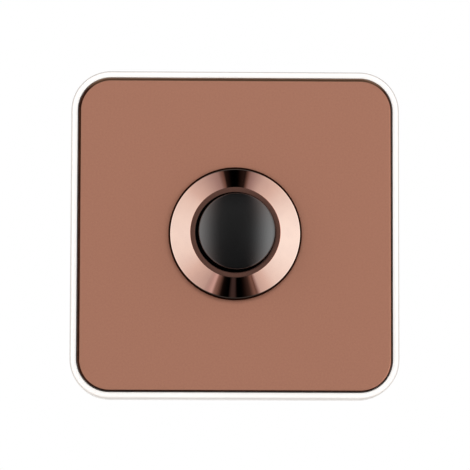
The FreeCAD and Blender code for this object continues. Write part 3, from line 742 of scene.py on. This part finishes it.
upper = add(tree, "ValToRGB", {"stops": [
    (0.0, 0.91), (0.14, 0.77), (0.345, 0.365), (0.38, 0.30), (0.405, 0.14), (0.43, 0.01),
    (0.585, 0.01), (0.624, 0.265), (0.72, 0.57), (1.0, 1.0)]}, {"Fac": share}).outputs["Color"]
lower = add(tree, "ValToRGB", {"stops": [
    (0.0, 0.90), (0.15, 0.62), (0.235, 0.50), (0.268, 0.34), (0.305, 0.32), (0.322, 0.15),
    (0.345, 0.13), (0.385, 0.01), (0.56, 0.004), (0.645, 0.033), (0.68, 0.105), (0.70, 0.09),
    (0.73, 0.55), (0.85, 0.82), (1.0, 1.0)]}, {"Fac": share}).outputs["Color"]
above = add(tree, "MapRange", {"From Min": -0.05, "From Max": 0.05}, {"Value": z_part}).outputs["Result"]
spot = add(tree, "Mix", {"data_type": "RGBA"}, {0: above, 6: lower, 7: upper}).outputs[2]
# Where the screens are dimmer, their light is warmer.
warmth = add(tree, "ValToRGB", {"stops": [
    (0.0, "#000000"), (0.12, "#614942"), (0.35, "#a08987"), (0.7, "#dac8c2"),
    (1.0, "#ffffff")]}, {"Fac": spot})
# The screens stand from about 25 degrees off the camera's line to just behind the object, are
# brightest about 50 degrees off it, and the right one reaches a little nearer to the camera.
screen_strength = 2.6
toward = add(tree, "Math", {"operation": "MULTIPLY_ADD", 1: -0.5, 2: 0.5}, {0: y_part}).outputs[0]
y_square = add(tree, "Math", {"operation": "MULTIPLY_ADD"}, {0: y_part, 1: y_part, 2: x_square}).outputs[0]
plan_reach = add(tree, "Math", {"operation": "SQRT"}, {0: y_square}).outputs[0]
plan = add(tree, "Math", {"operation": "DIVIDE"}, {0: y_part, 1: plan_reach}).outputs[0]
plan_toward = add(tree, "Math", {"operation": "MULTIPLY_ADD", 1: -0.5, 2: 0.5}, {0: plan}).outputs[0]
leaning = add(tree, "Math", {"operation": "MULTIPLY_ADD", 1: -0.02}, {0: x_part, 2: plan_toward}).outputs[0]
span = add(tree, "ValToRGB", {"stops": [
    (0.41, 0.0), (0.455, 0.555), (0.785, 0.575), (0.825, 1.0), (0.86, 0.76), (0.89, 0.54),
    (0.92, 0.31), (0.943, 0.14), (0.97, 0.025), (1.0, 0.0)]}, {"Fac": leaning}).outputs["Color"]
bright = add(tree, "Mix", {"data_type": "RGBA", "blend_type": "MULTIPLY", 0: 1.0},
             {6: warmth.outputs["Color"], 7: span}).outputs[2]
screens = add(tree, "Mix", {"data_type": "RGBA", "blend_type": "MULTIPLY", 0: 1.0,
                            7: (screen_strength, screen_strength, screen_strength, 1)},
              {6: bright}).outputs[2]
# A dim glow from the room round the camera.
glow_height = add(tree, "Math", {"operation": "MULTIPLY_ADD", 1: 0.07, 2: 0.13}, {0: z_part}).outputs[0]
glow = add(tree, "MapRange", {"From Min": 0.67, "From Max": 0.90, "To Max": 1.0},
           {"Value": toward}).outputs["Result"]
glow_level = add(tree, "Math", {"operation": "MULTIPLY"}, {0: glow_height, 1: glow}).outputs[0]
room = add(tree, "Mix", {"data_type": "RGBA", "blend_type": "ADD", 0: 1.0},
           {6: screens, 7: glow_level}).outputs[2]
# A light stand in the lower gap, seen in the bezel as a dim streak.
stand_width = add(tree, "ValToRGB", {"stops": [(0.45, 0.0), (0.478, 1.0), (0.502, 1.0), (0.526, 0.0)]},
                  {"Fac": share}).outputs["Color"]
stand_reach = add(tree, "MapRange", {"From Min": 0.72, "From Max": 0.68}, {"Value": toward}).outputs["Result"]
stand_low = add(tree, "MapRange", {"From Min": 0.0, "From Max": -0.3, "To Max": 1.0},
                {"Value": z_part}).outputs["Result"]
stand = add(tree, "Math", {"operation": "MULTIPLY"}, {0: stand_reach, 1: stand_low}).outputs[0]
stand_share = add(tree, "Math", {"operation": "MULTIPLY"}, {0: stand, 1: stand_width}).outputs[0]
studio = add(tree, "Mix", {"data_type": "RGBA", "blend_type": "ADD", 7: linear("#463837")},
             {0: stand_share, 6: room}).outputs[2]
# The wall behind: white to the camera and in reflections, and dimmer as a light.
path = add(tree, "LightPath", {})
mirrored = add(tree, "Math", {"operation": "MAXIMUM"},
               {0: path.outputs["Is Glossy Ray"], 1: path.outputs["Is Transmission Ray"]}).outputs[0]
height = add(tree, "Math", {"operation": "ABSOLUTE"}, {0: z_part}).outputs[0]
wall_light = add(tree, "Math", {"operation": "MULTIPLY_ADD", 1: 0.5, 2: 0.4}, {0: height}).outputs[0]
wall = add(tree, "Mix", {"data_type": "RGBA", 7: (1.0, 1.0, 1.0, 1)}, {0: mirrored, 6: wall_light}).outputs[2]
behind = add(tree, "MapRange", {"From Min": 0.46, "From Max": 0.41}, {"Value": toward}).outputs["Result"]
whole = add(tree, "Mix", {"data_type": "RGBA"}, {0: behind, 6: studio, 7: wall}).outputs[2]
seen = add(tree, "Mix", {"data_type": "RGBA", 7: (1.0, 1.0, 1.0, 1)},
           {0: path.outputs["Is Camera Ray"], 6: whole}).outputs[2]
background = add(tree, "Background", {"Strength": 1.0}, {"Color": seen})
add(tree, "OutputWorld", {}, {"Surface": background.outputs["Background"]})

# A soft lamp near the camera fills the matt surfaces from the front.
fill_light = bpy.data.lights.new("front_fill", "AREA")
fill_light.shape = "DISK"
fill_light.size = 1.2
fill_light.energy = 14.5
fill = bpy.data.objects.new("front_fill", fill_light)
scene.collection.objects.link(fill)
fill.location = (0.0, -1.5, 0.9)
fill.rotation_euler = (Vector((0, 0, 0)) - fill.location).to_track_quat("-Z", "Y").to_euler()
fill.visible_glossy = False

# The camera stands a little below the plate's middle and looks up at it.
camera_data = bpy.data.cameras.new("view")
camera_data.sensor_width = 36
camera_data.lens = 240.4
camera_data.clip_start = 0.01
camera = bpy.data.objects.new("view", camera_data)
scene.collection.objects.link(camera)
target = Vector((0, -0.0085, -0.00015))
camera_distance = 0.82
tilt = math.radians(-5.5)
aside = math.radians(-1.0)
away = Vector((math.cos(tilt) * math.sin(aside), -math.cos(tilt) * math.cos(aside), math.sin(tilt)))
camera.location = target + away * camera_distance
roll = Matrix.Rotation(math.radians(0.16), 4, "Z")
aim = (target - camera.location).to_track_quat("-Z", "Y").to_matrix().to_4x4()
camera.rotation_euler = (aim @ roll).to_euler()
scene.camera = camera
scene.view_settings.view_transform = "Standard"

low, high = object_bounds()
